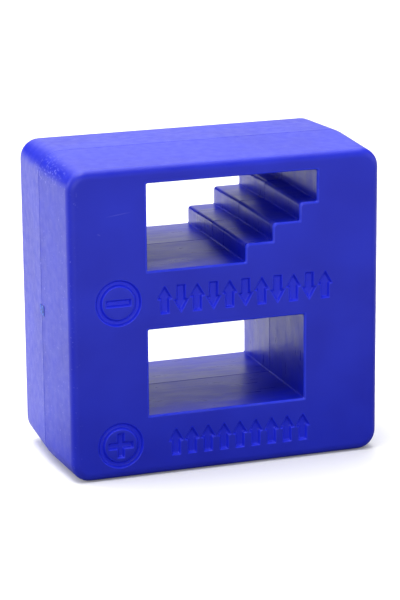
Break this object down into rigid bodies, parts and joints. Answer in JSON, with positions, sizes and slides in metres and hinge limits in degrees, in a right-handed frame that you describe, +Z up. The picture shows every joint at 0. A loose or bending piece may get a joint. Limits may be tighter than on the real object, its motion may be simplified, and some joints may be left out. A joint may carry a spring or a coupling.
{
  "type": "demagnetizer",
  "caption": "Bench block that magnetizes or demagnetizes small tools: a blue two-shell case with a stepped window above a plain window.",
  "frame": {"origin": "on the surface it stands on, under the middle of the block's own box", "axes": "+Z up, +X to the right across the front face, +Y from the front face towards the rear face; the block leans forward by its mould draft of 2.4 degrees, because it stands on the flat underside of its front half"},
  "size_m": [0.052, 0.03, 0.0505],
  "materials": {
    "blue_plastic": "satin",
    "ferrite": "matte"
  },
  "bodies": {
    "root": {"front_shell": "blue_plastic", "rear_shell": "blue_plastic", "magnet_upper_left": "ferrite", "magnet_lower_left": "ferrite", "magnet_lower_right": "ferrite"}
  },
  "joints": []
}
